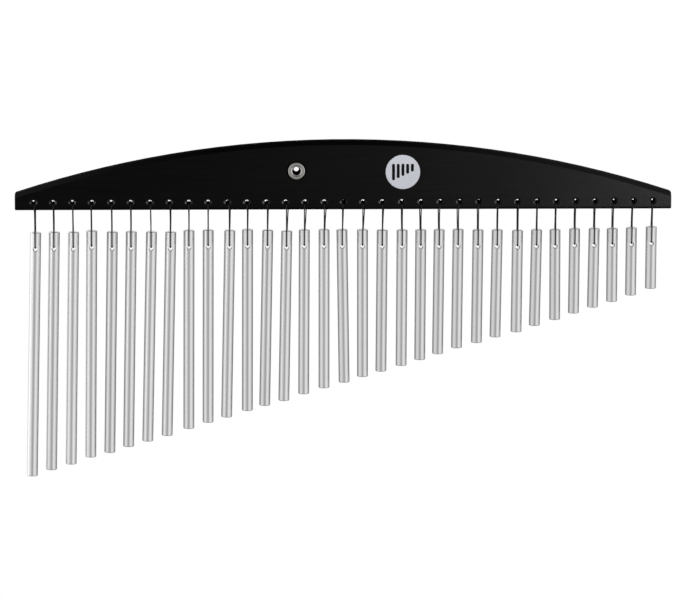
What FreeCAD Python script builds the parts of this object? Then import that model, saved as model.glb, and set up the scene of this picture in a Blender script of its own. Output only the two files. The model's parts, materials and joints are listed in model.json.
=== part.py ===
import FreeCAD, Part
import math
import os

import Sketcher

# Bar chimes: solid aluminium bars of stepped length hang on cord loops from a
# bow-shaped wooden header, which bolts to a stand through a threaded bush.
#
# Frame: X along the header with the long bars at -X, -Y is the player's side
# (the front), +Z is up.  The origin is the mouth of the threaded hole of the
# bush, on the rear face of the header.

# ---------------------------------------------------------------- dimensions
# How each bar hangs, longest bar first: the drop of its top below the header, the
# distance of its eye along X from its hole, and its lean in degrees about its own
# eye, positive where the lower end goes to -X.
HANGS = [
    (21.25, 0.9, 1.4), (20.75, 0.3, 1.25), (20.85, 0.3, 1.15),
    (19.6, -0.7, 0.75), (20.7, 0.3, 1.1), (20.55, 0.0, 1.15),
    (20.8, 0.7, 1.4), (20.95, 0.65, 1.35), (19.65, -0.1, 0.35),
    (19.25, -0.2, 0.3), (19.7, 1.7, 1.2), (18.95, 0.5, 0.25),
    (19.5, 1.1, 1.15), (20.35, 0.85, 1.1), (19.3, -0.55, 0.3),
    (19.1, -0.1, 0.05), (19.25, -1.2, -0.85), (19.3, -0.2, -0.05),
    (19.65, 0.1, 0.45), (19.65, 0.7, 0.3), (19.55, 0.15, 0.3),
    (19.45, -0.7, 0.55), (19.25, -1.0, 0.55), (19.7, -0.4, 0.55),
    (19.75, -0.5, 0.9), (20.35, 0.55, 0.5), (19.8, 0.3, 1.0),
    (19.65, -0.2, -0.2), (18.95, 0.0, 0.35), (18.85, 0.2, 0.75),
    (18.85, -0.65, 0.0), (18.25, -0.8, 0.15), (17.35, -0.2, 0.15),
]
COUNT = len(HANGS)

size = {
    # header board
    "header_length": 600.0,
    "header_thick": 19.0,
    "header_end": 15.1,  # height at either end
    "header_mid": 63.0,  # height in the middle
    "bevel": 3.75,
    "corner_round": 1.3,
    "edge_round": 1.0,
    # countersunk holes that the cords pass through
    "hole_height": 7.2,
    "hole_dia": 3.8,
    "sink_dia": 7.1,
    "sink_depth": 0.9,
    "count": COUNT,
    "pitch": 17.68,
    # mounting bush, placed from the middle and the underside of the header
    "bush_left": 43.1,
    "bush_up": 35.6,
    "barrel_dia": 11.0,
    "flange_dia": 15.2,
    "flange_thick": 0.7,
    "bead_width": 1.25,
    "bead_rise": 0.75,
    "groove_width": 0.75,
    "lip_rise": 0.65,
    "bead_round": 0.45,
    "lip_round": 0.3,
    "funnel_width": 1.15,
    "funnel_depth": 0.5,
    "socket_dia": 8.1,
    "socket_depth": 10.0,
    "thread_dia": 5.0,
    # badge, placed like the bush
    "badge_right": 54.0,
    "badge_up": 34.45,
    "badge_dia": 31.5,
    "badge_thick": 0.9,
    "badge_round": 0.3,
    # bars
    "bar_dia": 10.0,
    "bar_longest": 226.8,
    "bar_step": 5.285,
    "bar_round": 0.8,
    "eye_down": 15.5,
    "eye_dia": 4.0,
    "eye_bevel": 0.3,
    # cords
    "cord_dia": 1.2,
    "cord_gap": 0.1,
    "strand_clear": 0.05,  # added to the gap between a strand and the header's face
    "bend_top": 1.8,
    "bend_edge": 6.0,
    "bend_eye": 1.0,
    "knot_dia": 3.6,
    "knot_drop": 4.9,
    "strand_end": 0.3,  # height of the cord's ends above and below the knot's centre
}
for number, hang in enumerate(HANGS, start=1):
    for word, value in zip(("drop", "sway", "lean"), hang):
        size["%s_%02d" % (word, number)] = value

doc = FreeCAD.newDocument("bar_chimes")
sheet = doc.addObject("Spreadsheet::Sheet", "Dim")
for row, (alias, value) in enumerate(size.items(), start=1):
    sheet.set("A%d" % row, alias)
    sheet.set("B%d" % row, repr(value))
    sheet.setAlias("B%d" % row, alias)
doc.recompute()

# Distance from the middle of the row of holes to its first hole.
HALF_ROW = size["pitch"] * (COUNT - 1) / 2
HALF_ROW_TEXT = "Dim.pitch * (Dim.count - 1) / 2"


# ------------------------------------------------------------ sketch helpers
Vector = FreeCAD.Vector
Constraint = Sketcher.Constraint
# Sketcher's numbers: the ends and centre of a curve, and the sketch's own axes.
START, END, CENTRE = 1, 2, 3
X_LINE, Y_LINE = -1, -2
ORIGIN = (-1, START)


def new_body(label):
    body = doc.addObject("PartDesign::Body", label)
    body.Label = label
    return body


def datum(body, role):
    """The origin plane or axis of the body with this role."""
    for feature in body.Origin.OriginFeatures:
        if feature.Role == role:
            return feature
    raise RuntimeError(role)


def sketch_on(body, role, name, height_text=None):
    """A sketch on an origin plane, raised along the plane's normal if a height is given."""
    sketch = body.newObject("Sketcher::SketchObject", name)
    sketch.AttachmentSupport = [(datum(body, role), "")]
    sketch.MapMode = "FlatFace"
    if height_text:
        sketch.setExpression("AttachmentOffset.Base.z", height_text)
    return sketch


def lock(sketch, constraint, text):
    """Adds a driving dimension and ties it to an expression."""
    index = sketch.addConstraint(constraint)
    sketch.setExpression("Constraints[%d]" % index, text)


def span(sketch, axis, start, end, value, text):
    """The distance along an axis from one (curve, point) to another."""
    lock(sketch, Constraint("Distance" + axis, *start, *end, value), text)


def pin(sketch, axis, point, value, text):
    """Fixes a coordinate of a point; the text gives its size without the sign."""
    if value < 0:
        span(sketch, axis, point, ORIGIN, -value, text)
    else:
        span(sketch, axis, ORIGIN, point, value, text)


def circle(sketch, dia_alias, x=None, y=None):
    """A full circle; x and y are (value, text), or None where the centre is on the axis."""
    centre = Vector(x[0] if x else 0, y[0] if y else 0, 0)
    radius = size[dia_alias] / 2
    curve = sketch.addGeometry(Part.Circle(centre, Vector(0, 0, 1), radius), False)
    lock(sketch, Constraint("Radius", curve, radius), "Dim.%s / 2" % dia_alias)
    for axis, place, line in (("X", x, Y_LINE), ("Y", y, X_LINE)):
        if place:
            pin(sketch, axis, (curve, CENTRE), *place)
        else:
            sketch.addConstraint(Constraint("PointOnObject", curve, CENTRE, line))


def closed_lines(sketch, points):
    """A closed outline of straight lines; axis-parallel ones stay so."""
    lines = []
    for start, end in zip(points, points[1:] + points[:1]):
        line = sketch.addGeometry(Part.LineSegment(Vector(*start, 0), Vector(*end, 0)), False)
        lines.append(line)
        if abs(start[0] - end[0]) < 1e-9:
            sketch.addConstraint(Constraint("Vertical", line))
        elif abs(start[1] - end[1]) < 1e-9:
            sketch.addConstraint(Constraint("Horizontal", line))
    for line, following in zip(lines, lines[1:] + lines[:1]):
        sketch.addConstraint(Constraint("Coincident", line, END, following, START))
    return lines


# ----------------------------------------------------------- feature helpers
def near(first, second, tolerance=1e-3):
    return abs(first - second) < tolerance


def middle(edge):
    return edge.valueAt((edge.FirstParameter + edge.LastParameter) / 2.0)


def is_circle(edge):
    return isinstance(edge.Curve, Part.Circle)


def pad(body, name, sketch, length_text):
    feature = body.newObject("PartDesign::Pad", name)
    feature.Profile = sketch
    feature.setExpression("Length", length_text)
    sketch.Visibility = False
    doc.recompute()
    return feature


def check_cut(base, cut, least):
    """Stops the build if a cut took away too little."""
    removed = base.Shape.Volume - cut.Shape.Volume
    if not removed > least:
        raise RuntimeError("%s removed %.3f mm3" % (cut.Name, removed))


def bore(body, name, sketch, base, least):
    """Cuts the sketch right through the body, both ways."""
    feature = body.newObject("PartDesign::Pocket", name)
    feature.Profile = sketch
    feature.Type = 1  # through all
    feature.Midplane = True
    sketch.Visibility = False
    doc.recompute()
    check_cut(base, feature, least)
    return feature


def dress(body, kind, name, base, test, size_alias):
    """A Fillet or a Chamfer on the edges that pass the test."""
    edges = ["Edge%d" % i for i, edge in enumerate(base.Shape.Edges, start=1) if test(edge)]
    if not edges:
        raise RuntimeError("no edge matches on " + base.Name)
    feature = body.newObject("PartDesign::" + kind, name)
    feature.Base = (base, edges)
    feature.setExpression("Radius" if kind == "Fillet" else "Size", "Dim." + size_alias)
    doc.recompute()
    return feature


# -------------------------------------------------------------- header board
# Local frame: x = 0 at the middle of the board, y = 0 on its rear face,
# z = 0 on its underside.
def draw_bow(sketch):
    """The outline of the board: flat underside, short ends, arc on top.  Returns its radius."""
    half = size["header_length"] / 2
    end_height = size["header_end"]
    rise = size["header_mid"] - end_height
    radius = (half * half + rise * rise) / (2 * rise)
    centre_z = size["header_mid"] - radius
    angle = math.atan2(end_height - centre_z, half)
    full = Part.Circle(Vector(0, centre_z, 0), Vector(0, 0, 1), radius)
    bottom, right, bow, left = [
        sketch.addGeometry(curve, False)
        for curve in (
            Part.LineSegment(Vector(-half, 0, 0), Vector(half, 0, 0)),
            Part.LineSegment(Vector(half, 0, 0), Vector(half, end_height, 0)),
            Part.ArcOfCircle(full, angle, math.pi - angle),
            Part.LineSegment(Vector(-half, end_height, 0), Vector(-half, 0, 0)),
        )
    ]
    for constraint in (
        Constraint("Coincident", bottom, END, right, START),
        Constraint("Coincident", right, END, bow, START),
        Constraint("Coincident", bow, END, left, START),
        Constraint("Coincident", left, END, bottom, START),
        Constraint("Vertical", right),
        Constraint("Vertical", left),
        Constraint("PointOnObject", bottom, START, X_LINE),
        Constraint("Symmetric", bottom, START, bottom, END, *ORIGIN),
        Constraint("PointOnObject", bow, CENTRE, Y_LINE),
    ):
        sketch.addConstraint(constraint)
    span(sketch, "X", (bottom, START), (bottom, END), 2 * half, "Dim.header_length")
    span(sketch, "Y", (right, START), (right, END), end_height, "Dim.header_end")
    rise_text = "(Dim.header_mid - Dim.header_end)"
    lock(
        sketch,
        Constraint("Radius", bow, radius),
        "(Dim.header_length * Dim.header_length / 4 + %s * %s) / (2 * %s)"
        % (rise_text, rise_text, rise_text),
    )
    return radius


def draw_cord_hole(sketch):
    """Half the section of the first cord hole, with a countersink at each face."""
    thick, depth = size["header_thick"], size["sink_depth"]
    hole_radius, sink_radius = size["hole_dia"] / 2, size["sink_dia"] / 2
    section = [
        (0, 0),
        (sink_radius, 0),
        (hole_radius, -depth),
        (hole_radius, -thick + depth),
        (sink_radius, -thick),
        (0, -thick),
    ]
    lines = closed_lines(sketch, [(x - HALF_ROW, y) for x, y in section])
    rear, rear_sink, front_sink, front = lines[0], lines[1], lines[3], lines[4]
    pin(sketch, "X", (rear, START), -HALF_ROW, HALF_ROW_TEXT)
    sketch.addConstraint(Constraint("PointOnObject", rear, START, X_LINE))
    for axis, start, end, value, text in (
        ("X", (rear, START), (rear, END), sink_radius, "Dim.sink_dia / 2"),
        ("X", (rear, START), (rear_sink, END), hole_radius, "Dim.hole_dia / 2"),
        ("Y", (rear_sink, END), (rear, START), depth, "Dim.sink_depth"),
        ("Y", (front, START), (rear, START), thick, "Dim.header_thick"),
        ("Y", (front, START), (front_sink, START), depth, "Dim.sink_depth"),
        ("X", (front, END), (front, START), sink_radius, "Dim.sink_dia / 2"),
    ):
        span(sketch, axis, start, end, value, text)


def make_header():
    half, thick = size["header_length"] / 2, size["header_thick"]
    body = new_body("header_board")
    outline = sketch_on(body, "XZ_Plane", "header_outline")
    bow_radius = draw_bow(outline)
    board = pad(body, "board", outline, "Dim.header_thick")

    def on_bow(edge):
        return is_circle(edge) and near(edge.Curve.Radius, bow_radius, 0.1)

    def lower_corner(edge):
        return near(abs(middle(edge).x), half) and near(middle(edge).z, 0)

    # The long edges of the underside, and the edges at each end where the bow and
    # its bevels run out; the slack keeps the test clear of the bevel's lower end.
    slack = 0.5
    run_out_z = size["header_end"] - size["bevel"] - slack

    def arris(edge):
        point = middle(edge)
        on_face = near(point.y, 0) or near(point.y, -thick)
        underside = isinstance(edge.Curve, Part.Line) and on_face and near(point.z, 0)
        run_out = near(abs(point.x), half) and point.z > run_out_z and not on_face
        return underside or run_out

    bevel = dress(body, "Chamfer", "bow_bevel", board, on_bow, "bevel")
    corners = dress(body, "Fillet", "lower_corners", bevel, lower_corner, "corner_round")
    arrises = dress(body, "Fillet", "arrises", corners, arris, "edge_round")

    seat = sketch_on(body, "XZ_Plane", "bush_seat")
    circle(
        seat,
        "barrel_dia",
        x=(-size["bush_left"], "Dim.bush_left"),
        y=(size["bush_up"], "Dim.bush_up"),
    )
    least = 0.9 * thick * math.pi * size["barrel_dia"] ** 2 / 4
    bored = bore(body, "bush_bore", seat, arrises, least)

    # one cord hole, then the row of them
    drill = sketch_on(body, "XY_Plane", "cord_hole_section", "Dim.hole_height")
    draw_cord_hole(drill)
    hole = body.newObject("PartDesign::Groove", "cord_hole")
    hole.Profile = drill
    hole.ReferenceAxis = (drill, ["Edge6"])  # the line on the hole's axis
    hole.Angle = 360.0
    drill.Visibility = False
    doc.recompute()
    check_cut(bored, hole, 0.9 * thick * math.pi * size["hole_dia"] ** 2 / 4)
    one_hole = bored.Shape.Volume - hole.Shape.Volume

    holes = body.newObject("PartDesign::LinearPattern", "cord_holes")
    holes.Originals = [hole]
    holes.Direction = (datum(body, "X_Axis"), [""])
    holes.setExpression("Length", "Dim.pitch * (Dim.count - 1)")
    holes.setExpression("Occurrences", "Dim.count")
    body.Tip = holes
    doc.recompute()
    check_cut(bored, holes, 0.98 * COUNT * one_hole)
    body.setExpression("Placement.Base.x", "Dim.bush_left")
    body.setExpression("Placement.Base.z", "-Dim.bush_up")
    return body


# ------------------------------------------------------------- mounting bush
# Local frame: axis along Y, y = 0 at the rear face of the header.
def make_bush():
    barrel, flange = size["barrel_dia"] / 2, size["flange_dia"] / 2
    socket, thread = size["socket_dia"] / 2, size["thread_dia"] / 2
    bead_inner = flange - size["bead_width"]
    lip_outer = bead_inner - size["groove_width"]
    mouth = socket + size["funnel_width"]
    face_y = -size["header_thick"]
    flange_y = face_y - size["flange_thick"]
    bead_y = flange_y - size["bead_rise"]
    lip_y = flange_y - size["lip_rise"]
    funnel_y = lip_y + size["funnel_depth"]
    step_y = face_y + size["socket_depth"]
    points = [
        (thread, 0),
        (barrel, 0),
        (barrel, face_y),
        (flange, face_y),
        (flange, bead_y),
        (bead_inner, bead_y),
        (bead_inner, flange_y),
        (lip_outer, flange_y),
        (lip_outer, lip_y),
        (mouth, lip_y),
        (socket, funnel_y),
        (socket, step_y),
        (thread, step_y),
    ]

    body = new_body("mounting_bush")
    section = sketch_on(body, "XY_Plane", "bush_section")
    lines = closed_lines(section, points)
    section.addConstraint(Constraint("PointOnObject", lines[0], START, X_LINE))
    flange_text = "Dim.header_thick + Dim.flange_thick"
    bead_text = "Dim.flange_dia / 2 - Dim.bead_width"
    # point of the outline, axis, distance from the origin
    for index, axis, text in (
        (0, "X", "Dim.thread_dia / 2"),
        (1, "X", "Dim.barrel_dia / 2"),
        (2, "Y", "Dim.header_thick"),
        (3, "X", "Dim.flange_dia / 2"),
        (4, "Y", flange_text + " + Dim.bead_rise"),
        (5, "X", bead_text),
        (6, "Y", flange_text),
        (7, "X", bead_text + " - Dim.groove_width"),
        (8, "Y", flange_text + " + Dim.lip_rise"),
        (9, "X", "Dim.socket_dia / 2 + Dim.funnel_width"),
        (10, "X", "Dim.socket_dia / 2"),
        (10, "Y", flange_text + " + Dim.lip_rise - Dim.funnel_depth"),
        (11, "Y", "Dim.header_thick - Dim.socket_depth"),
    ):
        value = points[index]["XY".index(axis)]
        pin(section, axis, (lines[index], START), value, text)
    turned = body.newObject("PartDesign::Revolution", "turned_bush")
    turned.Profile = section
    turned.ReferenceAxis = (section, ["V_Axis"])
    turned.Angle = 360.0
    section.Visibility = False
    doc.recompute()

    def ring(edge, radius, y):
        return is_circle(edge) and near(edge.Curve.Radius, radius) and near(edge.Curve.Center.y, y)

    def bead_edge(edge):
        return ring(edge, flange, bead_y) or ring(edge, bead_inner, bead_y)

    def lip_edge(edge):
        return ring(edge, lip_outer, lip_y)

    bead = dress(body, "Fillet", "bead", turned, bead_edge, "bead_round")
    dress(body, "Fillet", "lip", bead, lip_edge, "lip_round")
    return body


# --------------------------------------------------------------------- badge
# Local frame: axis along Y, y = 0 on the front face of the header.
def make_badge():
    body = new_body("badge_disc")
    disc = sketch_on(body, "XZ_Plane", "badge_outline")
    circle(disc, "badge_dia")
    plate = pad(body, "badge_plate", disc, "Dim.badge_thick")

    def front_edge(edge):
        return is_circle(edge) and near(edge.Curve.Center.y, -size["badge_thick"])

    dress(body, "Fillet", "badge_edge", plate, front_edge, "badge_round")
    body.setExpression("Placement.Base.x", "Dim.bush_left + Dim.badge_right")
    body.setExpression("Placement.Base.y", "-Dim.header_thick")
    body.setExpression("Placement.Base.z", "Dim.badge_up - Dim.bush_up")
    return body


# ---------------------------------------------------------------------- bars
# Local frame: axis along Z, z = 0 at the lower end.
def hole_x_text(k):
    """Place of cord hole k along the header."""
    return "Dim.bush_left - %s + %d * Dim.pitch" % (HALF_ROW_TEXT, k)


def make_bar(k):
    """Bar k, leaning about its eye."""
    tag = "%02d" % (k + 1)
    length = size["bar_longest"] - k * size["bar_step"]
    length_text = "(Dim.bar_longest - %d * Dim.bar_step)" % k
    eye_z, eye_z_text = length - size["eye_down"], length_text + " - Dim.eye_down"
    bar_dia, eye_dia = size["bar_dia"], size["eye_dia"]

    body = new_body("bar_" + tag)
    stock = sketch_on(body, "XY_Plane", "stock_" + tag)
    circle(stock, "bar_dia")
    rod = pad(body, "rod_" + tag, stock, length_text)
    eye = sketch_on(body, "XZ_Plane", "eye_section_" + tag)
    circle(eye, "eye_dia", y=(eye_z, eye_z_text))
    least = 0.8 * bar_dia * math.pi * eye_dia ** 2 / 4
    drilled = bore(body, "eye_" + tag, eye, rod, least)

    def end_rim(edge):
        return (
            is_circle(edge)
            and near(edge.Curve.Radius, bar_dia / 2)
            and (near(middle(edge).z, 0) or near(middle(edge).z, length))
        )

    def eye_rim(edge):
        return (
            not isinstance(edge.Curve, (Part.Circle, Part.Line))
            and abs(middle(edge).y) > eye_dia / 2
            and near(middle(edge).z, eye_z, eye_dia)
        )

    rounded = dress(body, "Fillet", "end_round_" + tag, drilled, end_rim, "bar_round")
    dress(body, "Chamfer", "eye_bevel_" + tag, rounded, eye_rim, "eye_bevel")
    body.setExpression(
        "Placement",
        f"placement(vector({hole_x_text(k)} + Dim.sway_{tag}; -Dim.header_thick / 2;"
        f" -Dim.bush_up - Dim.drop_{tag} - {length_text});"
        f" rotation(vector(0; 1; 0); Dim.lean_{tag}); vector(0; 0; {eye_z_text}))",
    )
    return body


# --------------------------------------------------------------------- cords
# One loop per bar: through the header hole, down both faces, inwards from the
# lower edges to the eye of the bar, and closed by a knot on the rear face.
# Local frame: x = 0 at the bar's hole, y = 0 at mid-thickness, z = 0 on the underside.
EYE_CLEAR = 0.1  # added to the gap between the cord and the bar's side
EDGE_UP = 0.4  # height of the corner where a strand turns inwards, before rounding

cord_radius, gap = size["cord_dia"] / 2, size["cord_gap"]
strand_y = size["header_thick"] / 2 + cord_radius + gap + size["strand_clear"]
strand_text = "(Dim.header_thick / 2 + Dim.cord_dia / 2 + Dim.cord_gap + Dim.strand_clear)"
top_z = size["hole_height"] - size["hole_dia"] / 2 + cord_radius + gap
top_text = "(Dim.hole_height - Dim.hole_dia / 2 + Dim.cord_dia / 2 + Dim.cord_gap)"
eye_y = size["bar_dia"] / 2 + cord_radius + gap + EYE_CLEAR
knot_z = size["hole_height"] - size["knot_drop"]
knot_text = "Dim.hole_height - Dim.knot_drop"
start_z, start_text = knot_z + size["strand_end"], knot_text + " + Dim.strand_end"
stop_z, stop_text = knot_z - size["strand_end"], knot_text + " - Dim.strand_end"


def rounded_path(points, radii):
    """Lines and tangent arcs through the points, as (curve, start point) in order."""
    points = [Vector(*point, 0) for point in points]
    pieces = []
    here = points[0]
    for before, corner, after, radius in zip(points, points[1:], points[2:], radii):
        back, ahead = (before - corner).normalize(), (after - corner).normalize()
        half_angle = back.getAngle(ahead) / 2
        cut = radius / math.tan(half_angle)
        arc_start, arc_end = corner + back * cut, corner + ahead * cut
        centre = corner + (back + ahead).normalize() * (radius / math.sin(half_angle))
        arc_mid = centre + (corner - centre).normalize() * radius
        pieces.append((Part.LineSegment(here, arc_start), here))
        pieces.append((Part.Arc(arc_start, arc_mid, arc_end), arc_start))
        here = arc_end
    pieces.append((Part.LineSegment(here, points[-1]), here))
    return pieces


def draw_loop(path, eye_z, eye_z_text):
    """The centre line of a cord, from above the knot round to below it."""
    corners = [
        (strand_y, top_z, "bend_top"),
        (-strand_y, top_z, "bend_top"),
        (-strand_y, EDGE_UP, "bend_edge"),
        (-eye_y, eye_z, "bend_eye"),
        (eye_y, eye_z, "bend_eye"),
        (strand_y, EDGE_UP, "bend_edge"),
    ]
    points = [(strand_y, start_z)] + [(y, z) for y, z, _ in corners] + [(strand_y, stop_z)]
    bends = [bend for _, _, bend in corners]
    curves, flipped = [], []
    for piece, start in rounded_path(points, [size[bend] for bend in bends]):
        curve = path.addGeometry(piece, False)
        curves.append(curve)
        # an arc may be stored running the other way
        flipped.append((path.Geometry[curve].StartPoint - start).Length > 1e-6)
    for i in range(len(curves) - 1):
        leaving = START if flipped[i] else END
        entering = END if flipped[i + 1] else START
        path.addConstraint(Constraint("Tangent", curves[i], leaving, curves[i + 1], entering))
    rear_upper, top_run, front, eye_run, rear_lower = [curves[i] for i in (0, 2, 4, 8, 12)]
    for curve in (rear_upper, front, rear_lower):
        path.addConstraint(Constraint("Vertical", curve))
    for curve in (top_run, eye_run):
        path.addConstraint(Constraint("Horizontal", curve))
    for curve, bend in zip(curves[1::2], bends):
        lock(path, Constraint("Radius", curve, size[bend]), "Dim." + bend)

    # The ends of the edge bends and of the eye run are held at their built places.
    pin(path, "X", (rear_upper, START), strand_y, strand_text)
    pin(path, "Y", (rear_upper, START), start_z, start_text)
    pin(path, "Y", (top_run, START), top_z, top_text)
    pin(path, "X", (front, START), -strand_y, strand_text)
    bend_z = path.Geometry[front].EndPoint.y
    bend_text = "%.6f" % abs(bend_z)
    pin(path, "Y", (front, END), bend_z, bend_text)
    pin(path, "Y", (eye_run, START), eye_z, eye_z_text)
    run = abs(path.Geometry[eye_run].StartPoint.x)
    run_text = "(Dim.bar_dia / 2 - %.6f)" % (size["bar_dia"] / 2 - run)
    pin(path, "X", (eye_run, START), -run, run_text)
    pin(path, "X", (eye_run, END), run, run_text)
    pin(path, "X", (rear_lower, START), strand_y, strand_text)
    pin(path, "Y", (rear_lower, START), bend_z, bend_text)
    pin(path, "Y", (rear_lower, END), stop_z, stop_text)


def make_cord(k):
    """The loop and knot of bar k, tilted about the hole to meet the bar's eye."""
    tag = "%02d" % (k + 1)
    eye_z = -size["drop_" + tag] - size["eye_down"] + size["eye_dia"] / 2 - cord_radius - gap
    eye_z_text = (
        f"(Dim.drop_{tag} + Dim.eye_down - Dim.eye_dia / 2 + Dim.cord_dia / 2 + Dim.cord_gap)"
    )
    body = new_body("cord_" + tag)
    path = sketch_on(body, "YZ_Plane", "loop_path_" + tag)
    draw_loop(path, eye_z, eye_z_text)
    path.Visibility = False
    section = sketch_on(body, "XY_Plane", "cord_section_" + tag, start_text)
    circle(section, "cord_dia", y=(strand_y, strand_text))
    section.Visibility = False
    doc.recompute([body])

    loop = body.newObject("PartDesign::AdditivePipe", "cord_loop_" + tag)
    loop.Profile = section
    loop.Spine = (path, [])
    knot = body.newObject("PartDesign::AdditiveSphere", "cord_knot_" + tag)
    knot.setExpression("Radius", "Dim.knot_dia / 2")
    knot.AttachmentSupport = [(datum(body, "XY_Plane"), "")]
    knot.MapMode = "FlatFace"
    knot.setExpression(
        "AttachmentOffset.Base.y", "Dim.header_thick / 2 + Dim.knot_dia / 2 + Dim.cord_gap"
    )
    knot.setExpression("AttachmentOffset.Base.z", knot_text)
    body.Tip = knot
    body.setExpression(
        "Placement",
        f"placement(vector({hole_x_text(k)}; -Dim.header_thick / 2; -Dim.bush_up);"
        f" rotation(vector(0; 1; 0); -atan(Dim.sway_{tag} / ({eye_z_text} + {top_text})));"
        f" vector(0; 0; {top_text}))",
    )
    return body


def make_cords():
    """All the loops as one compound."""
    loops = [make_cord(k) for k in range(COUNT)]
    doc.recompute()
    # the loops may differ by no more than 9 mm of cord
    allowed = 9.0 * math.pi * cord_radius ** 2
    for body in loops:
        shape = body.Shape
        if len(shape.Solids) != 1 or not near(shape.Volume, loops[0].Shape.Volume, allowed):
            raise RuntimeError(
                "%s: %d solids, %.1f mm3" % (body.Label, len(shape.Solids), shape.Volume)
            )
    cords = doc.addObject("Part::Compound", "hanging_cords")
    cords.Label = "hanging_cords"
    cords.Links = loops
    doc.recompute()
    return cords


# ---------------------------------------------------------- build and export
pieces = [make_header(), make_bush(), make_badge()]
pieces += [make_bar(k) for k in range(COUNT)]
cords = make_cords()
pieces.append(cords)

for obj in doc.Objects:
    bad = [state for state in obj.State if "Invalid" in state or "Error" in state]
    if bad:
        raise RuntimeError("%s is %s" % (obj.Name, bad))
for piece in pieces:
    shape = piece.Shape
    if shape.isNull() or not shape.isValid():
        raise RuntimeError(piece.Label + " has no valid shape")
    if len(shape.Solids) != (COUNT if piece is cords else 1):
        raise RuntimeError("%s has %d solids" % (piece.Label, len(shape.Solids)))

os.makedirs("parts", exist_ok=True)
for piece in pieces:
    piece.Shape.exportStep("parts/%s.step" % piece.Label)
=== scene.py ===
import json
import math

import bmesh
import bpy
import numpy as np
from mathutils import Matrix, Vector


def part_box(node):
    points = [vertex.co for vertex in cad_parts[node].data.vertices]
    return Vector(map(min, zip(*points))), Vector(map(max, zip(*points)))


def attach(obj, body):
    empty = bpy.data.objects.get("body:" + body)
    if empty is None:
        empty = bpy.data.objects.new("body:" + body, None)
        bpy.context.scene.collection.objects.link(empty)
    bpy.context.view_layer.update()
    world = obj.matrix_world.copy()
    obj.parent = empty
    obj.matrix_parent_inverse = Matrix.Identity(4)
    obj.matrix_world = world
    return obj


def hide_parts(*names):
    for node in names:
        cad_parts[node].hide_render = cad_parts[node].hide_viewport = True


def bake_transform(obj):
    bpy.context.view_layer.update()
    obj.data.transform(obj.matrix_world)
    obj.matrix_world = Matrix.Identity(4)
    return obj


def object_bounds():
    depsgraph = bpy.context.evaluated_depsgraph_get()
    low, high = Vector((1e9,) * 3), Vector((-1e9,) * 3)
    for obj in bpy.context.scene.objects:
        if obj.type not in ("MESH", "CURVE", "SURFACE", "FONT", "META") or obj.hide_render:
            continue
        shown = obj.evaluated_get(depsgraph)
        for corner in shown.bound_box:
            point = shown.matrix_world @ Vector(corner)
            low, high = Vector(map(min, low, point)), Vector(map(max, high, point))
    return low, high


# Bar chimes: a row of metal bars hung on cords from a black wooden header.  Row frame in metres:
# X along the header with the long bars at -X, -Y towards the player, +Z up, and the mounting
# bush's axis through x = z = 0.

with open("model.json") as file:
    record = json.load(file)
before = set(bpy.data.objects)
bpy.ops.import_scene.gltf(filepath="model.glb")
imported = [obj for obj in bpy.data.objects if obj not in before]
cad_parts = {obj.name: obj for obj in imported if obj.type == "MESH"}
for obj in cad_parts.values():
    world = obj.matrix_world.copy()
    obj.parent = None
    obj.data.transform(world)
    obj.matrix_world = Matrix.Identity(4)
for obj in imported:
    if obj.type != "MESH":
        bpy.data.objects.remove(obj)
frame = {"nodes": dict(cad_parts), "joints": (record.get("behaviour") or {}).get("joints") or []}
cad_lo, cad_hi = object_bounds()
scene = bpy.context.scene
nodes = frame["nodes"]
MM = 0.001
TURN = 2 * math.pi

# Header and badge, in metres
head_lo, head_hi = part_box("header_board")
REAR, FRONT = head_hi.y, head_lo.y
MID_X = (head_lo.x + head_hi.x) / 2
MID_Y = (REAR + FRONT) / 2
THICK = REAR - FRONT
UNDER = head_lo.z
badge_lo, badge_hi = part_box("badge_disc")
badge_mid = (badge_lo + badge_hi) / 2

# Bars, in metres
joint_x = {joint["child"]: joint["pos_m"][0] for joint in frame["joints"]}
BARS = sorted(joint_x)
FIRST_X = joint_x[BARS[0]]
PITCH = (joint_x[BARS[-1]] - FIRST_X) / (len(BARS) - 1)
END_BAND = 0.0012    # depth of mesh taken as a bar's end

# Holes, bars and cords, in millimetres
HOLE_H = 7.2         # hole centre above the header's underside
HOLE_R = 1.9
EYE_DOWN = 15.5      # eye centre below the bar's top, along its axis
EYE_R = 2.0
BAR_R = 5.0
CORD_R = 0.55
BRAID_STARTS = 4     # crossings round the cord
BRAID_LAY = 1.5      # length of one crossing along the cord
SIDES = 12
STEP = 0.45          # spacing of the rings along a cord


def bar_axis(name):
    """Centres of a bar's top, bottom and eye, from its mesh."""
    points = np.array([vert.co[:] for vert in nodes[name].data.vertices])
    ends = []
    for z in (points[:, 2].max(), points[:, 2].min()):
        near = points[np.abs(points[:, 2] - z) < END_BAND]
        ends.append(Vector(((near[:, 0].min() + near[:, 0].max()) / 2, MID_Y, z)))
    top, low = ends
    return top, low, top + (low - top).normalized() * (EYE_DOWN * MM)


# Each bar carries its own axis line and number, which its material reads.
AXES = {name: bar_axis(name) for name in BARS}
for index, name in enumerate(BARS):
    top, low, eye = AXES[name]
    slope = (low.x - top.x) / (low.z - top.z)
    nodes[name]["bar_slope"] = slope
    nodes[name]["bar_x"] = eye.x - slope * eye.z
    nodes[name]["bar_index"] = float(index)


# ------------------------------------------------------------------ node help
NOISE_MID = (0.3, 0.7)    # the range that most of a noise's values fall in


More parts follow.
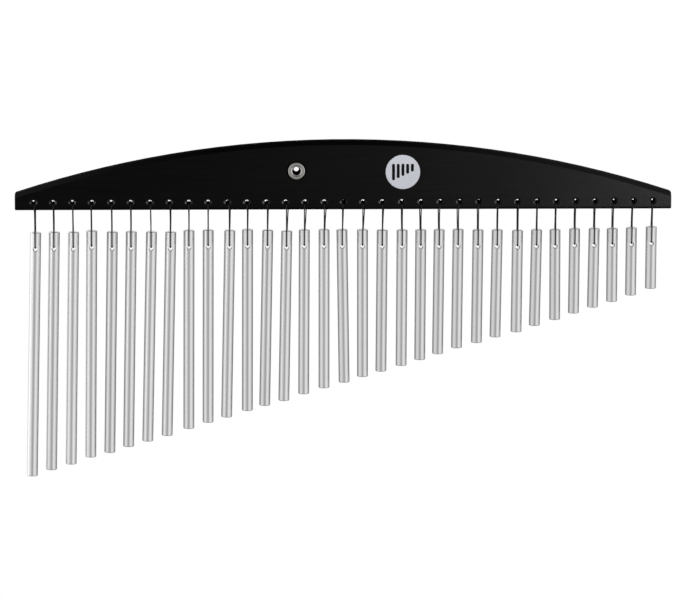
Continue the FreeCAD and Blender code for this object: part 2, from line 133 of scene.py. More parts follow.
class Nodes:
    """A node tree, emptied, with short ways to add and link nodes in it."""

    def __init__(self, tree):
        self.tree = tree
        tree.nodes.clear()

    def new(self, kind, **props):
        node = self.tree.nodes.new("ShaderNode" + kind)
        for key, value in props.items():
            setattr(node, key, value)
        return node

    def put(self, socket, value):
        """Links a socket, or sets a plain value; None leaves the input alone."""
        if isinstance(value, bpy.types.NodeSocket):
            self.tree.links.new(value, socket)
        elif value is not None:
            socket.default_value = value

    def math(self, operation, first, second=None, clamp=False):
        node = self.new("Math", operation=operation, use_clamp=clamp)
        for socket, value in zip(node.inputs, (first, second)):
            self.put(socket, value)
        return node.outputs[0]

    def add(self, first, second, clamp=False):
        return self.math("ADD", first, second, clamp)

    def sub(self, first, second):
        return self.math("SUBTRACT", first, second)

    def mul(self, first, second):
        return self.math("MULTIPLY", first, second)

    def flip(self, value):
        return self.sub(1.0, value)

    def away(self, value, centre):
        return self.math("ABSOLUTE", self.sub(value, centre))

    def radius(self, first, second):
        return self.math("SQRT", self.add(self.mul(first, first), self.mul(second, second)))

    def split(self, vector):
        node = self.new("SeparateXYZ")
        self.put(node.inputs[0], vector)
        return node.outputs

    def span(self, value, over=NOISE_MID, to=(0.0, 1.0), smooth=False):
        """Maps one range to another, clamped."""
        node = self.new("MapRange", clamp=True)
        if smooth:
            node.interpolation_type = "SMOOTHSTEP"
        self.put(node.inputs["Value"], value)
        for key, number in zip(("From Min", "From Max", "To Min", "To Max"), (*over, *to)):
            node.inputs[key].default_value = number
        return node.outputs["Result"]

    def mix(self, share, under, over):
        node = self.new("Mix", data_type="RGBA")
        for socket, value in ((0, share), (6, under), (7, over)):
            self.put(node.inputs[socket], value)
        return node.outputs[2]

    def by_ray(self, room, camera):
        """One shader for camera rays and another for all the rest."""
        pick = self.new("MixShader")
        is_camera = self.new("LightPath").outputs["Is Camera Ray"]
        for socket, value in zip(pick.inputs, (is_camera, room, camera)):
            self.put(socket, value)
        return pick.outputs[0]


class Material(Nodes):
    """A Principled material in object coordinates."""

    def __init__(self, name):
        self.material = bpy.data.materials.new(name)
        self.material.use_nodes = True
        super().__init__(self.material.node_tree)
        output = self.new("OutputMaterial")
        self.shader = self.new("BsdfPrincipled")
        self.put(output.inputs["Surface"], self.shader.outputs["BSDF"])
        self.place = self.new("TexCoord").outputs["Object"]

    def join(self, x, y, z):
        node = self.new("CombineXYZ")
        for socket, value in zip(node.inputs, (x, y, z)):
            self.put(socket, value)
        return node.outputs[0]

    def noise(self, vector, scale=1.0, detail=3.0, rough=0.5, distort=0.0):
        node = self.new("TexNoise")
        self.put(node.inputs["Vector"], vector)
        node.inputs["Scale"].default_value = scale
        node.inputs["Detail"].default_value = detail
        node.inputs["Roughness"].default_value = rough
        node.inputs["Distortion"].default_value = distort
        return node.outputs["Fac"]

    def grain(self, per_metre, **settings):
        """Noise with its own frequency along each axis."""
        node = self.new("Mapping")
        self.put(node.inputs["Vector"], self.place)
        node.inputs["Scale"].default_value = per_metre
        return self.noise(node.outputs[0], **settings)

    def bump(self, height, depth, strength, under=None):
        """Relief of the given depth in metres, over any earlier relief."""
        node = self.new("Bump")
        self.put(node.inputs["Height"], height)
        node.inputs["Distance"].default_value = depth
        node.inputs["Strength"].default_value = strength
        self.put(node.inputs["Normal"], under)
        return node.outputs["Normal"]

    def own(self, name):
        """A number kept on the object itself."""
        node = self.new("Attribute", attribute_type="OBJECT", attribute_name=name)
        return node.outputs["Fac"]

    def surface(self, **values):
        for key, value in values.items():
            self.put(self.shader.inputs[key.replace("_", " ")], value)
        return self.material


# ------------------------------------------------------------------ materials
def stained_wood():
    """Black-stained plank with a satin finish: long grain, open pores, faint edge rub, and
    painted light and shade in its gloss and colour.
    """
    mat = Material("stained_wood")
    x, y, z = mat.split(mat.place)
    long_grain = mat.grain((14, 420, 420), detail=6.0, rough=0.6, distort=0.4)
    fibre = mat.grain((60, 2600, 2600), rough=0.6)
    pores = mat.span(mat.grain((150, 1500, 1500), detail=2.0), over=(0.66, 0.72))
    cloud = mat.grain((9, 30, 22))
    shade = mat.add(mat.mul(long_grain, 0.6), mat.mul(cloud, 0.4))
    base = mat.mix(mat.span(shade, over=(0.32, 0.68)),
                   under=(0.0011, 0.0011, 0.0012, 1), over=(0.0034, 0.0032, 0.0031, 1))
    base = mat.mix(mat.mul(pores, 0.6), base, over=(0.0006, 0.0006, 0.0006, 1))

    # rubbed arris along the lower edges, front and rear
    patches = mat.grain((90, 300, 300), detail=4.0, rough=0.7)
    rub = mat.mul(mat.span(z, over=(UNDER + 1.0 * MM, UNDER + 0.45 * MM)),
                  mat.span(patches, over=(0.52, 0.72)))
    base = mat.mix(mat.mul(rub, 0.35), base, over=(0.02, 0.017, 0.014, 1))
    sanding = mat.grain((40, 300, 300), detail=4.0, rough=0.6)
    rough = mat.add(mat.span(sanding, to=(0.44, 0.50)), mat.mul(pores, 0.15))
    relief = mat.bump(long_grain, depth=0.00022, strength=0.30)
    relief = mat.bump(fibre, depth=0.00006, strength=0.35, under=relief)
    relief = mat.bump(mat.flip(pores), depth=0.00012, strength=0.35, under=relief)

    # sunk is each hole out to its countersink's rim; cone is the part of it near the faces
    wrapped = mat.math("FLOORED_MODULO", mat.add(mat.sub(x, FIRST_X), PITCH / 2), PITCH)
    hole_r = mat.radius(mat.sub(wrapped, PITCH / 2), mat.sub(z, UNDER + HOLE_H * MM))
    row = mat.span(mat.away(x, MID_X), over=(16.45 * PITCH, 16.40 * PITCH))
    sunk = mat.mul(row, mat.span(hole_r, over=(3.57 * MM, 3.51 * MM)))
    near_face = (THICK / 2 - 1.05 * MM, THICK / 2 - 0.85 * MM)
    cone = mat.mul(sunk, mat.span(mat.away(y, MID_Y), over=near_face))
    # painted shade: the holes and their countersinks are darker
    base = mat.mix(sunk, base, over=(0.0009, 0.0009, 0.0009, 1))

    # the finish's gloss, with painted shade that weakens it at the lower arris, round the bush,
    # on top and in holes
    bush_r = mat.radius(x, z)
    low_edge = (UNDER + 1.3 * MM, UNDER + 2.8 * MM)
    gloss_and_painted_shade = mat.mul(mat.span(z, over=low_edge, to=(0.15, 1.0), smooth=True),
                    mat.span(bush_r, over=(7.6 * MM, 10.5 * MM), to=(0.3, 1.0), smooth=True))
    normal = mat.new("NewGeometry").outputs["Normal"]
    level_top = mat.span(mat.split(normal)[2], over=(0.80, 0.93), to=(1.0, 0.03))
    gloss_and_painted_shade = mat.mul(gloss_and_painted_shade, level_top)
    gloss_and_painted_shade = mat.mul(gloss_and_painted_shade, mat.flip(mat.mul(sunk, 0.95)))

    # painted shade: faces that lean upwards keep their gloss only towards the header's two ends,
    # and are darker between them
    lean = mat.split(normal)[2]
    left_end = mat.span(x, over=(head_lo.x + 0.03, head_lo.x + 0.19), to=(1.0, 0.22))
    right_end = mat.span(x, over=(head_lo.x + 0.31, head_hi.x - 0.10), to=(0.10, 1.0))
    ends = mat.math("MAXIMUM", left_end, right_end)
    leaning = (0.25, 0.5)
    bevel_painted_shade = mat.mul(mat.span(lean, over=leaning), ends)
    bevel_painted_shade = mat.add(mat.flip(mat.span(lean, over=leaning)), bevel_painted_shade, clamp=True)
    gloss_and_painted_shade = mat.mul(gloss_and_painted_shade, bevel_painted_shade)
    # painted shade: the leaning faces are darker away from the header's ends
    base = mat.mix(mat.flip(bevel_painted_shade), base, over=(0.0006, 0.0006, 0.0006, 1))

    # painted light: the board's gloss rises towards +X, so its right end looks more lit
    painted_board_light = mat.span(x, over=(head_lo.x + 0.05, head_hi.x - 0.05), to=(0.050, 0.092))
    # painted highlight: the countersinks' cones are glossier towards -X
    painted_cone_glint = mat.span(x, over=(head_lo.x, head_hi.x), to=(0.20, 0.10))
    gloss = mat.add(mat.mul(painted_board_light, gloss_and_painted_shade), mat.mul(cone, painted_cone_glint))

    # the cones are smoother than the board, the bores rougher
    rough = mat.sub(rough, mat.mul(cone, 0.14))
    rough = mat.add(rough, mat.mul(mat.sub(sunk, cone), 0.4), clamp=True)
    return mat.surface(Base_Color=base, Roughness=rough, Specular_IOR_Level=gloss, Normal=relief)


def bar_metal():
    """Drawn aluminium rod: die lines along it, a haze that differs by bar, turned ends."""
    mat = Material("bar_metal")
    x, y, z = mat.split(mat.place)
    axis_x = mat.add(mat.own("bar_x"), mat.mul(mat.own("bar_slope"), z))
    off_x = mat.sub(x, axis_x)
    off_y = mat.sub(y, MID_Y)
    per_bar = mat.new("TexWhiteNoise", noise_dimensions="1D")
    mat.put(per_bar.inputs["W"], mat.own("bar_index"))
    per_bar = per_bar.outputs["Value"]
    seed = mat.mul(per_bar, 37.0)

    def rod_space(across_x, across_y, across, along):
        """Noise coordinates on the rod, shifted for each bar."""
        return mat.join(mat.mul(across_x, across), mat.mul(across_y, across),
                        mat.add(mat.mul(z, along), seed))

    angle = mat.math("ARCTAN2", off_y, off_x)
    around = rod_space(mat.math("COSINE", angle), mat.math("SINE", angle), across=1.0, along=1.6)
    lines = mat.noise(around, scale=34.0, detail=5.0, rough=0.65)
    broad = mat.noise(around, scale=5.0, rough=0.55)
    haze = mat.noise(rod_space(off_x, off_y, across=120.0, along=14.0), rough=0.55)
    marks = mat.noise(rod_space(off_x, off_y, across=900.0, along=420.0), detail=2.0)
    marks = mat.span(marks, over=(0.70, 0.78))
    normal = mat.new("NewGeometry").outputs["Normal"]
    end = mat.span(mat.math("ABSOLUTE", mat.split(normal)[2]), over=(0.75, 0.9))
    rings = mat.math("SINE", mat.mul(mat.radius(off_x, off_y), TURN / 0.00022))

    # brightness about a mean, then a faint tint by channel
    mean_level, bar_spread, mark_depth = 0.87, 0.05, 0.05
    tone = mat.add(mat.span(haze, to=(-0.012, 0.012)), mat.mul(mat.sub(per_bar, 0.5), bar_spread))
    tone = mat.add(tone, mat.span(lines, to=(-0.02, 0.02)))
    level = mat.sub(mat.add(tone, mean_level), mat.mul(marks, mark_depth))
    color = mat.new("CombineColor")
    for socket, tint in zip(color.inputs, (1.0, 0.985, 0.999)):
        mat.put(socket, mat.mul(level, tint))

    # roughness added by the bar's own share, by marks and by the turned ends
    rough = mat.span(broad, to=(0.12, 0.17))
    for source, amount in ((per_bar, 0.05), (marks, 0.06), (end, 0.12)):
        rough = mat.add(rough, mat.mul(source, amount))
    relief = mat.new("Mix", data_type="VECTOR")
    mat.put(relief.inputs[0], end)
    mat.put(relief.inputs[4], mat.bump(lines, depth=0.00002, strength=0.22))
    mat.put(relief.inputs[5], mat.bump(rings, depth=0.00001, strength=0.35))
    return mat.surface(Base_Color=color.outputs[0], Metallic=1.0, Roughness=rough,
                       Normal=relief.outputs[1])


def nickel():
    """Plated bush: bright, slightly warm, with fine turning rings and darker grooves."""
    mat = Material("nickel")
    x, y, z = mat.split(mat.place)
    radius = mat.radius(x, z)
    waver = mat.mul(mat.grain((300, 300, 300), detail=2.0), 3.0)
    rings = mat.math("SINE", mat.add(mat.mul(radius, TURN / 0.00018), waver))
    cloud = mat.grain((260, 260, 260), detail=4.0, rough=0.6)
    base = mat.mix(mat.span(cloud, over=(0.35, 0.7)),
                   under=(0.70, 0.675, 0.645, 1), over=(0.86, 0.845, 0.82, 1))
    # painted shade: the bore is made dark and no longer metallic
    deep = mat.span(y, over=(FRONT - 0.8 * MM, FRONT + 0.2 * MM))
    inner = mat.mul(deep, mat.span(radius, over=(4.25 * MM, 4.15 * MM)))
    base = mat.mix(mat.mul(inner, 0.97), base, over=(0.006, 0.0058, 0.0055, 1))
    # darker colour in the two turned grooves: radius, then half-width where it is full and gone
    grooves = [
        mat.span(mat.away(radius, at * MM), over=(full * MM, gone * MM), to=(1.0, 0.0))
        for at, full, gone in ((6.60, 0.20, 0.42), (5.15, 0.26, 0.50))
    ]
    groove_darkening = mat.mul(mat.math("MAXIMUM", *grooves), 0.75)
    base = mat.mix(groove_darkening, base, over=(0.12, 0.11, 0.10, 1))
    rough = mat.add(mat.span(cloud, to=(0.12, 0.20)), mat.mul(inner, 0.40))
    bright = mat.flip(inner)
    return mat.surface(Base_Color=base, Metallic=bright, Specular_IOR_Level=mat.mul(bright, 0.5),
                       Roughness=rough, Normal=mat.bump(rings, depth=0.000005, strength=0.15))


def badge_metal():
    """Thin disc with a fine straight brush."""
    mat = Material("badge_metal")
    brush = mat.grain((260, 260, 9000), detail=4.0, rough=0.7)
    cloud = mat.grain((70, 70, 70))
    base = mat.mix(mat.span(brush), under=(0.76, 0.775, 0.85, 1), over=(0.87, 0.885, 0.96, 1))
    rough = mat.add(mat.span(cloud, to=(0.34, 0.42)), mat.span(brush, to=(-0.03, 0.05)))
    return mat.surface(Base_Color=base, Metallic=0.6, Roughness=rough,
                       Normal=mat.bump(brush, depth=0.00001, strength=0.35))


def mark_enamel():
    """Black enamel of the badge's mark."""
    mat = Material("mark_enamel")
    cloud = mat.grain((900, 900, 900), rough=0.6)
    base = mat.mix(mat.span(cloud),
                   under=(0.0015, 0.0015, 0.0018, 1), over=(0.004, 0.004, 0.0045, 1))
    return mat.surface(Base_Color=base, Roughness=mat.span(cloud, to=(0.30, 0.42)),
                       Specular_IOR_Level=0.2,
                       Normal=mat.bump(cloud, depth=0.00001, strength=0.3))


def cord_fabric():
    """Black braided cord: a diamond weave on the "cord" map, which holds turns round the cord
    and millimetres along it."""
    mat = Material("cord_braid")
    around, along, _ = mat.split(mat.new("UVMap", uv_map="cord").outputs[0])
    strands = [
        mat.math("SINE", mat.math(operation, mat.mul(around, TURN * BRAID_STARTS),
                                  mat.mul(along, TURN / BRAID_LAY)))
        for operation in ("ADD", "SUBTRACT")
    ]
    weave = mat.math("MAXIMUM", *strands)
    fuzz = mat.grain((5200, 5200, 5200), rough=0.7)
    shade = mat.add(mat.mul(mat.span(weave, over=(0.0, 1.0)), 0.7), mat.mul(fuzz, 0.3))
    base = mat.mix(shade, under=(0.006, 0.006, 0.006, 1), over=(0.034, 0.033, 0.032, 1))
    relief = mat.bump(weave, depth=0.00008, strength=0.5)
    relief = mat.bump(fuzz, depth=0.00005, strength=0.4, under=relief)
    # painted shade: the cord is darker and has no glint where it lies in its hole
    _, y, z = mat.split(mat.place)
    mouth = (THICK / 2 - 0.2 * MM, THICK / 2 + 0.3 * MM)
    outside = mat.span(mat.away(y, MID_Y), over=mouth)
    open_air = mat.math("MAXIMUM", outside, mat.span(z, over=(UNDER + 1.0 * MM, UNDER)))
    base = mat.mix(open_air, under=(0.002, 0.002, 0.002, 1), over=base)
    return mat.surface(Base_Color=base, Roughness=0.72,
                       Specular_IOR_Level=mat.mul(open_air, 0.3),
                       Sheen_Weight=mat.mul(open_air, 0.2), Sheen_Roughness=0.5, Normal=relief)


looks = {
    "stained_wood": stained_wood(),
    "bar_metal": bar_metal(),
    "nickel": nickel(),
    "badge_metal": badge_metal(),
}
PIECE_LOOKS = {
    "header_board": "stained_wood",
    "mounting_bush": "nickel",
    "badge_disc": "badge_metal",
}
for name, obj in nodes.items():
    key = "bar_metal" if name.startswith("bar_") else PIECE_LOOKS.get(name)
    if key:
        for slot in obj.material_slots:
            slot.material = looks[key]
enamel = mark_enamel()
braid = cord_fabric()


def add_piece(name, bm, material=None):
    """Turns a bmesh into a linked object."""
    mesh = bpy.data.meshes.new(name)
    bm.to_mesh(mesh)
    bm.free()
    if material:
        mesh.materials.append(material)
    obj = bpy.data.objects.new(name, mesh)
    scene.collection.objects.link(obj)
    return obj


# ---------------------------------------------------- cords, in millimetres
# How far a knot hangs below its hole's centre, by cord, where it isn't the usual drop
USUAL_DROP = 4.1
KNOT_DROP = {
    10: 2.7, 16: 2.7, 22: 2.7, 23: 2.9, 24: 3.5, 25: 3.7, 26: 3.5,
    27: 4.0, 28: 3.4, 29: 3.8, 30: 3.5, 31: 3.5, 32: 4.7,
}
# How far the rear strand stands beside the front one, by cord: to +X first, then to -X
APART = (
    0.97, 0.59, 0.35, 0.39, 0.42, 0.45, 0.04, 0.62, 0.36, 0.32, 0.72,
    0.47, 0.63, 1.18, 1.13, 1.30, 0.54, 1.10, 0.68, 0.88, 1.30, 1.18,
    1.24, 1.22, 0.59, 0.99, 0.60, 0.84, 1.02, 1.16, 1.21, 0.77, 0.85,
)
APART_TO_MINUS_X = 19    # first cord whose rear strand stands to -X
# The loops skew towards the row's ends, in proportion to their distance from SKEW_X
SKEW_X = -51.5
SKEW_LENGTH = 3765.0

KNOT_TURNS = 3.0
KNOT_STEPS = 16          # points in one turn


def vary(cord_index, channel):
    """A fixed number in -1..1, so that no two cords hang quite alike."""
    return (math.sin(12.9898 * (cord_index + 1) + 78.233 * channel)
            * math.cos(4.1414 * (cord_index + 3) * (channel + 1)))


def rounded_loop(stations):
    """Samples a closed polyline with tangent arcs at its corners.  Columns: x, y, z, radius."""
    corners = [Vector(station[:3]) for station in stations]
    count = len(corners)
    arcs = []
    for i, corner in enumerate(corners):
        before, after = corners[i - 1], corners[(i + 1) % count]
        back, ahead = (before - corner).normalized(), (after - corner).normalized()
        angle = back.angle(ahead)
        shortest = min((before - corner).length, (after - corner).length)
        cut = min(stations[i][3] / math.tan(angle / 2), 0.48 * shortest)
        radius = cut * math.tan(angle / 2)
        start, end = corner + back * cut, corner + ahead * cut
        if math.pi - angle < 1e-3:
            arcs.append([start, end])
            continue
        centre = corner + (back + ahead).normalized() * (radius / math.sin(angle / 2))
        spoke, last_spoke = start - centre, end - centre
        sweep = spoke.angle(last_spoke)
        normal = spoke.cross(last_spoke).normalized()
        parts = max(2, int(math.ceil(sweep * max(radius, 0.6) / (STEP * 0.7))))
        arcs.append([centre + Matrix.Rotation(sweep * j / parts, 3, normal) @ spoke
                     for j in range(parts + 1)])
    path = [arcs[0][0]]
    for i, arc in enumerate(arcs):
        path.extend(arc[1:])
        start, end = arc[-1], arcs[(i + 1) % count][0]
        parts = max(1, int(round((end - start).length / STEP)))
        path.extend(start.lerp(end, j / parts) for j in range(1, parts + 1))
    path.pop()    # the last point is the first again
    return path


def carried_sides(tangents):
    """A side vector for each point, carried along the path without twist."""
    side = tangents[0].cross(Vector((1.0, 0.13, 0.0))).normalized()
    sides = [side]
    for before, tangent in zip(tangents, tangents[1:]):
        side = before.rotation_difference(tangent) @ side
        side = (side - tangent * side.dot(tangent)).normalized()
        sides.append(side)
    return sides


def braid_tube(bm, uv, path, closed, phase, widen):
    """A tube that swells where strands cross; widen(point, distance to end) scales it."""
    count = len(path)
    if closed:
        tangents = [(path[(i + 1) % count] - path[i - 1]).normalized() for i in range(count)]
    else:
        tangents = [(path[min(i + 1, count - 1)] - path[max(i - 1, 0)]).normalized()
                    for i in range(count)]
    sides = carried_sides(tangents)
    twist = 0.0
    if closed:
        # what the side vector misses by after one lap is spread along the loop
        last = tangents[-1].rotation_difference(tangents[0]) @ sides[-1]
        twist = math.atan2(last.cross(sides[0]).dot(tangents[0]), last.dot(sides[0]))
    along = [0.0]
    for before, point in zip(path, path[1:]):
        along.append(along[-1] + (point - before).length)
    total = along[-1] + ((path[0] - path[-1]).length if closed else 0.0)

    rings = []
    for i, point in enumerate(path):
        side = Matrix.Rotation(twist * along[i] / total, 3, tangents[i]) @ sides[i]
        cross = tangents[i].cross(side)
        growth = widen(point, min(along[i], total - along[i]))
        lay = TURN * along[i] / BRAID_LAY
        ring = []
        for j in range(SIDES):
            angle = TURN * j / SIDES
            start = BRAID_STARTS * angle + phase
            ripple = 0.045 * max(math.sin(start + lay), math.sin(start - lay))
            radius = CORD_R * growth * (0.97 + ripple)
            offset = (side * math.cos(angle) + cross * math.sin(angle)) * radius
            ring.append(bm.verts.new((point + offset) * MM))
        rings.append(ring)

    def add_face(verts, coords):
        face = bm.faces.new(verts)
        face.smooth = True
        for loop, coord in zip(face.loops, coords):
            loop[uv].uv = coord

    def band(ring, after, start, end):
        for j in range(SIDES):
            k = (j + 1) % SIDES
            left, right = j / SIDES, (j + 1) / SIDES
            add_face((ring[j], ring[k], after[k], after[j]),
                     ((left, start), (right, start), (right, end), (left, end)))

    for i in range(count - 1):
        band(rings[i], rings[i + 1], along[i], along[i + 1])
    if closed:
        band(rings[-1], rings[0], along[-1], total)
        return
    for ring, outward, place in ((rings[0], -tangents[0], 0.0), (rings[-1], tangents[-1], total)):
        centre = sum((vert.co for vert in ring), Vector()) / SIDES
        tip = bm.verts.new(centre + outward * (0.18 * MM))
        for j in range(SIDES):
            k = (j + 1) % SIDES
            edge = (ring[k], ring[j]) if ring is rings[0] else (ring[j], ring[k])
            add_face((*edge, tip), ((j / SIDES, place),) * 3)


def knot_helix(centre, start_angle, way):
    """The knot's turns round a strand, from the bottom up."""
    radius = 2 * CORD_R - 0.16
    height = 2 * CORD_R * 0.98 * KNOT_TURNS * 0.82
    steps = int(KNOT_TURNS * KNOT_STEPS)
    helix = []
    for i in range(steps + 1):
        angle = start_angle + way * TURN * KNOT_TURNS * i / steps
        rise = height * (i / steps - 0.5)
        helix.append(centre + Vector((radius * math.cos(angle), radius * math.sin(angle), rise)))
    return helix


def tail(start, direction, length, bend):
    """A cut end that bends steadily as it leaves the knot."""
    heading = direction.normalized()
    point = start.copy()
    path = []
    for _ in range(int(length / STEP)):
        heading = (heading + Vector(bend) * 0.11).normalized()
        point = point + heading * STEP
        path.append(point.copy())
    return path


def cord(index, name):
    """A closed loop through the header's hole and the bar's eye, knotted on its rear strand."""
    (front_var, rear_var, knot_var, lie_var, front_bow, rear_bow, loop_phase, start_var, way_var,
     low_length, low_bend, high_length, high_bend, knot_phase) = (
        vary(index, channel) for channel in range(1, 15))
    bar_top, _, bar_eye = AXES[name]
    hole_x = joint_x[name] / MM
    top = (bar_top.z - UNDER) / MM
    sway = bar_eye.x / MM - hole_x
    eye_z = (bar_eye.z - UNDER) / MM + EYE_R - 1.38 * CORD_R - 0.06
    eye_y = BAR_R + 1.25 * CORD_R - 0.05
    half = THICK / MM / 2
    front_x = 0.88 * sway + 0.12 * front_var
    rear_x = 0.88 * sway + 0.20 * rear_var
    # where the cord rests in the bottom of its hole
    lie = math.radians(2 + 20 * lie_var)
    play = HOLE_R - (CORD_R + 0.06)
    rest_x, rest_z = play * math.sin(lie), HOLE_H - play * math.cos(lie)
    drop = KNOT_DROP.get(index, USUAL_DROP)
    knot_y = half + 2.05
    knot_z = HOLE_H - drop + (0.3 if drop > 4 else 0.1) * knot_var
    skew = (hole_x - SKEW_X) / SKEW_LENGTH
    apart = APART[index] if index < APART_TO_MINUS_X else -APART[index]
    strand_x = 0.93 * sway + (18.0 * skew + apart) / 0.76
    if drop < 4:
        rear_x = 0.3 * rear_x + 11.0 * skew

    # x from the hole, y from the header's middle, z from its underside, bend radius
    path = rounded_loop((
        (rear_x, knot_y, knot_z - 1.3, 1.6),
        (rear_x, knot_y, knot_z + 1.5, 1.2),
        (0.5 * rear_x + 0.5 * rest_x, half - 0.7, rest_z - 0.15, 1.4),
        (rest_x, half - 2.6, rest_z, 2.0),
        (rest_x, -half + 2.6, rest_z, 2.0),
        (0.6 * front_x + 0.4 * rest_x, -half + 0.3, rest_z - 0.85, 1.6),
        (front_x, -half - CORD_R - 0.12, 0.5, 1.6),
        (0.93 * sway, -half - CORD_R + 0.12, -1.1, 2.4),
        (sway, -eye_y, eye_z, 0.95),
        (sway, eye_y, eye_z, 0.95),
        (strand_x, half + CORD_R - 0.05, -1.1, 1.8),
    ))
    # a slight sideways bow in the free span
    for point in path:
        if top < point.z < 0:
            bow = front_bow if point.y < 0 else rear_bow
            point.x += 0.16 * math.sin(math.pi * point.z / top) * bow
    origin = Vector((hole_x, MID_Y / MM, UNDER / MM))
    path = [point + origin for point in path]
    turn_z = origin.z + eye_z

    def eye_spread(point, _):
        """The braid spreads where it bends over the eye's lip."""
        return 1.0 + 0.38 * min(1.0, max(0.0, (turn_z + 1.7 - point.z) / 1.4))

    def end_fray(_, to_end):
        return 1.0 + 0.16 * max(0.0, 1.0 - to_end / 1.2)

    bm = bmesh.new()
    uv = bm.loops.layers.uv.new("cord")
    braid_tube(bm, uv, path, closed=True, phase=loop_phase, widen=eye_spread)

    # barrel knot with its two cut tails
    helix = knot_helix(centre=origin + Vector((rear_x, knot_y, knot_z)),
                       start_angle=math.radians(200 + 60 * start_var),
                       way=1 if way_var > 0 else -1)
    low_tail = tail(helix[0], (helix[0] - helix[1]) + Vector((0, 0.12, -0.05)),
                    length=3.4 + 0.6 * low_length, bend=(0.3 * low_bend, 0.6, -0.30))
    high_tail = tail(helix[-1], (helix[-1] - helix[-2]) + Vector((0, 0.12, 0.0)),
                     length=3.8 + 0.7 * high_length, bend=(0.5 * high_bend, 0.6, -0.25))
    braid_tube(bm, uv, low_tail[::-1] + helix + high_tail, closed=False, phase=knot_phase,
               widen=end_fray)
    bmesh.ops.recalc_face_normals(bm, faces=bm.faces)
    obj = add_piece("cord_" + name[-2:], bm, braid)
    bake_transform(obj)
    return obj


cords = [cord(index, name) for index, name in enumerate(BARS)]
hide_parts("hanging_cords")


# ------------------------------------------------ badge mark, in millimetres
MARK_BARS = 5
MARK_PITCH = 4.3
MARK_TOP = 7.6       # above the badge's centre
MARK_WIDTH = 2.7
MARK_HEIGHT = 15.2   # of the first bar
MARK_SHORTER = 2.0   # taken off each bar after it
MARK_ARC = 12        # segments in each rounded end
# y from the badge's front face, then the share of the full end radius
MARK_LEVELS = ((0.02, 1.0), (-0.07, 1.0), (-0.105, 0.93), (-0.115, 0.82))


def mark_bar(name, centre_x, top, height):
    """A raised upright bar of the mark, with round ends and a softened edge."""
    bm = bmesh.new()
    radius = MARK_WIDTH / 2
    face_y = badge_lo.y / MM
    rings = []
    for depth, share in MARK_LEVELS:
        ring = []
        for cap_z, start in ((top - radius, 0.0), (top - height + radius, math.pi)):
            for i in range(MARK_ARC + 1):
                angle = start + math.pi * i / MARK_ARC
                x = centre_x + radius * share * math.cos(angle)
                z = cap_z + radius * share * math.sin(angle)
                ring.append(bm.verts.new((x * MM, (face_y + depth) * MM, z * MM)))
        rings.append(ring)
    for ring, after in zip(rings, rings[1:]):
        for i in range(len(ring)):
            j = (i + 1) % len(ring)
            bm.faces.new((ring[i], ring[j], after[j], after[i])).smooth = True
    bm.faces.new(rings[-1])
    bm.faces.new(list(reversed(rings[0])))
    bmesh.ops.recalc_face_normals(bm, faces=bm.faces)
    obj = add_piece(name, bm, enamel)
    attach(obj, "header")


for i in range(MARK_BARS):
    mark_bar("badge_mark_%d" % (i + 1),
             centre_x=badge_mid.x / MM + (i - MARK_BARS // 2) * MARK_PITCH,
             top=badge_mid.z / MM + MARK_TOP,
             height=MARK_HEIGHT - i * MARK_SHORTER)


# --------------------------------------------------------------- floor, light
FLOOR_HALF = 14.0
FLOOR_DROP = 0.34    # below the lowest piece


def floor():
    """A pale floor that the camera sees as pure white."""
    bm = bmesh.new()
    bm.faces.new([bm.verts.new((x * FLOOR_HALF, y * FLOOR_HALF, cad_lo.z - FLOOR_DROP))
                  for x, y in ((-1, -1), (1, -1), (1, 1), (-1, 1))])
    obj = add_piece("floor", bm)
    material = bpy.data.materials.new("pale_floor")
    material.use_nodes = True
    tree = Nodes(material.node_tree)
    output = tree.new("OutputMaterial")
    diffuse = tree.new("BsdfDiffuse")
    diffuse.inputs["Color"].default_value = (0.85, 0.85, 0.85, 1)
    white = tree.new("Emission")
    white.inputs["Color"].default_value = (1, 1, 1, 1)
    tree.put(output.inputs["Surface"], tree.by_ray(diffuse.outputs[0], white.outputs[0]))
    obj.data.materials.append(material)
    obj.visible_glossy = False


floor()

# Studio radiance by azimuth in degrees, 0 towards the camera, positive to +X
STUDIO = (
    (-180, 0.05), (-150, 0.18), (-130, 0.36), (-112, 0.55), (-92, 0.68), (-72, 0.76),
    (-50, 0.76), (-32, 0.68), (-16, 0.50), (0, 0.32), (16, 0.50), (32, 0.82), (50, 0.93),
    (72, 0.80), (92, 0.58), (112, 0.42), (130, 0.27), (150, 0.12), (180, 0.05),
)


def studio_world():
    """A studio seen in reflections only; the camera sees white."""
    world = bpy.data.worlds.new("studio")
    scene.world = world
    world.use_nodes = True
    tree = Nodes(world.node_tree)
    x, y, z = tree.split(tree.new("TexCoord").outputs["Generated"])
    azimuth = tree.math("ARCTAN2", x, tree.mul(y, -1.0))
    ramp = tree.new("ValToRGB")
    tree.put(ramp.inputs[0], tree.add(tree.math("DIVIDE", azimuth, TURN), 0.5))
    ramp.color_ramp.interpolation = "B_SPLINE"
    stops = ramp.color_ramp.elements
    while len(stops) > 1:
        stops.remove(stops[-1])
    for i, (degrees, level) in enumerate(STUDIO):
        position = (degrees + 180) / 360
        stop = stops[0] if i == 0 else stops.new(position)
        stop.position = position
        stop.color = (level, level, level, 1)

    below = tree.span(z, over=(-0.30, -0.75), smooth=True)
    above = tree.span(z, over=(0.25, 0.70), smooth=True)
    rear = tree.mul(tree.span(y, over=(0.0, 0.35), smooth=True),
                    tree.span(z, over=(0.0, 0.12), smooth=True))
    color = ramp.outputs[0]
    for share, level in ((below, 0.30), (above, 0.16), (rear, 0.90)):
        color = tree.mix(share, color, over=(level, level, level, 1))
    room = tree.new("Background")
    tree.put(room.inputs["Color"], color)
    white = tree.new("Background")
    white.inputs["Color"].default_value = (1, 1, 1, 1)
    output = tree.new("OutputWorld")
    tree.put(output.inputs["Surface"], tree.by_ray(room.outputs[0], white.outputs[0]))


studio_world()


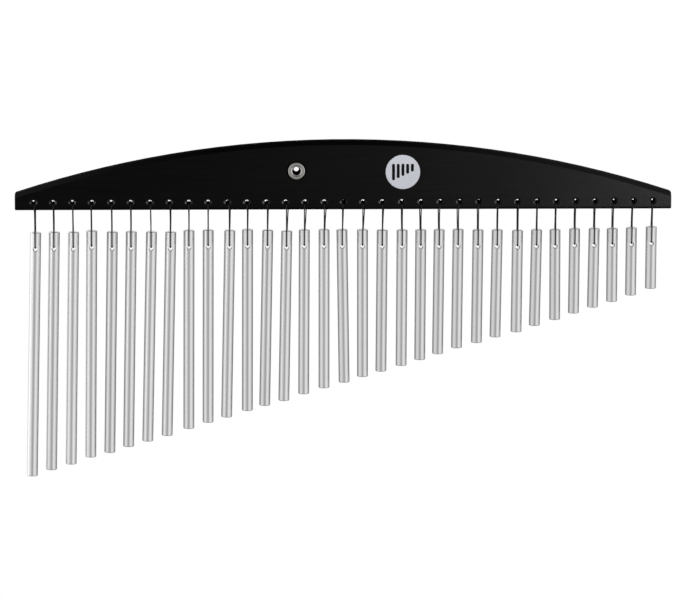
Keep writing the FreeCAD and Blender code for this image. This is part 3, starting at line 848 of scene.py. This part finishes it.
def soft_light(name, place, aim, size, watts, only, spread=180.0):
    """A rectangular light that reaches only the given pieces."""
    light = bpy.data.lights.new(name, "AREA")
    light.shape = "RECTANGLE"
    light.size, light.size_y = size
    light.energy = watts
    light.spread = math.radians(spread)
    obj = bpy.data.objects.new(name, light)
    obj.location = place
    obj.rotation_mode = "QUATERNION"
    obj.rotation_quaternion = (Vector(aim) - Vector(place)).to_track_quat("-Z", "Y")
    obj.visible_camera = False
    scene.collection.objects.link(obj)
    group = bpy.data.collections.new(name + "_lit")
    for piece in only:
        group.objects.link(piece)
    obj.light_linking.receiver_collection = group


header = [nodes["header_board"]]
bars = [nodes[name] for name in BARS]
soft_light("key_right", place=(0.60, -0.45, 0.0), aim=(0.36, -0.019, -0.03),
           size=(0.25, 0.25), watts=1.85, only=header, spread=94)
soft_light("top_left", place=(-0.75, -0.25, 0.85), aim=(-0.25, -0.01, 0.0),
           size=(0.5, 0.4), watts=2.6, only=header)
soft_light("rim_left", place=(-0.66, -0.18, -0.02), aim=(-0.1, -0.019, -0.03),
           size=(0.25, 0.25), watts=1.5, only=header)
soft_light("bush_fill", place=(0.24, -0.92, -0.13), aim=(0.0, -0.019, 0.0),
           size=(0.4, 0.4), watts=0.16, only=[nodes["mounting_bush"]])
soft_light("badge_fill", place=(0.10, -0.90, 0.25), aim=badge_mid,
           size=(0.3, 0.3), watts=1.3, only=[nodes["badge_disc"]])
soft_light("window_left", place=(-0.62, -0.26, -0.16), aim=(-0.24, -0.01, -0.17),
           size=(0.26, 0.50), watts=0.0125, only=bars, spread=24)
soft_light("card_left", place=(-0.50, 0.10, -0.17), aim=(-0.24, 0.0, -0.17),
           size=(0.40, 0.50), watts=0.36, only=bars[:4])

# -------------------------------------------------------------------- camera
DISTANCE, LENS = 3.8, 214.214
TARGET = Vector((0.046858, -0.0095, -0.120673))
# looking down, turned towards +X, and rolled
pitch, yaw, roll = (math.radians(degrees) for degrees in (8.64, 1.5, 0.033))
look = Vector((math.sin(yaw) * math.cos(pitch), math.cos(yaw) * math.cos(pitch),
               -math.sin(pitch)))
level_right = Vector((math.cos(yaw), -math.sin(yaw), 0.0))
level_up = level_right.cross(look)
right = math.cos(roll) * level_right + math.sin(roll) * level_up
up = -math.sin(roll) * level_right + math.cos(roll) * level_up
lens = bpy.data.cameras.new("camera")
lens.lens = LENS
lens.sensor_width = 36.0
lens.clip_start, lens.clip_end = 0.05, 100.0
camera = bpy.data.objects.new("camera", lens)
rotation = Matrix((right, up, -look)).transposed().to_4x4()
camera.matrix_world = Matrix.Translation(TARGET - look * DISTANCE) @ rotation
scene.collection.objects.link(camera)
scene.camera = camera
scene.view_settings.view_transform = "Standard"
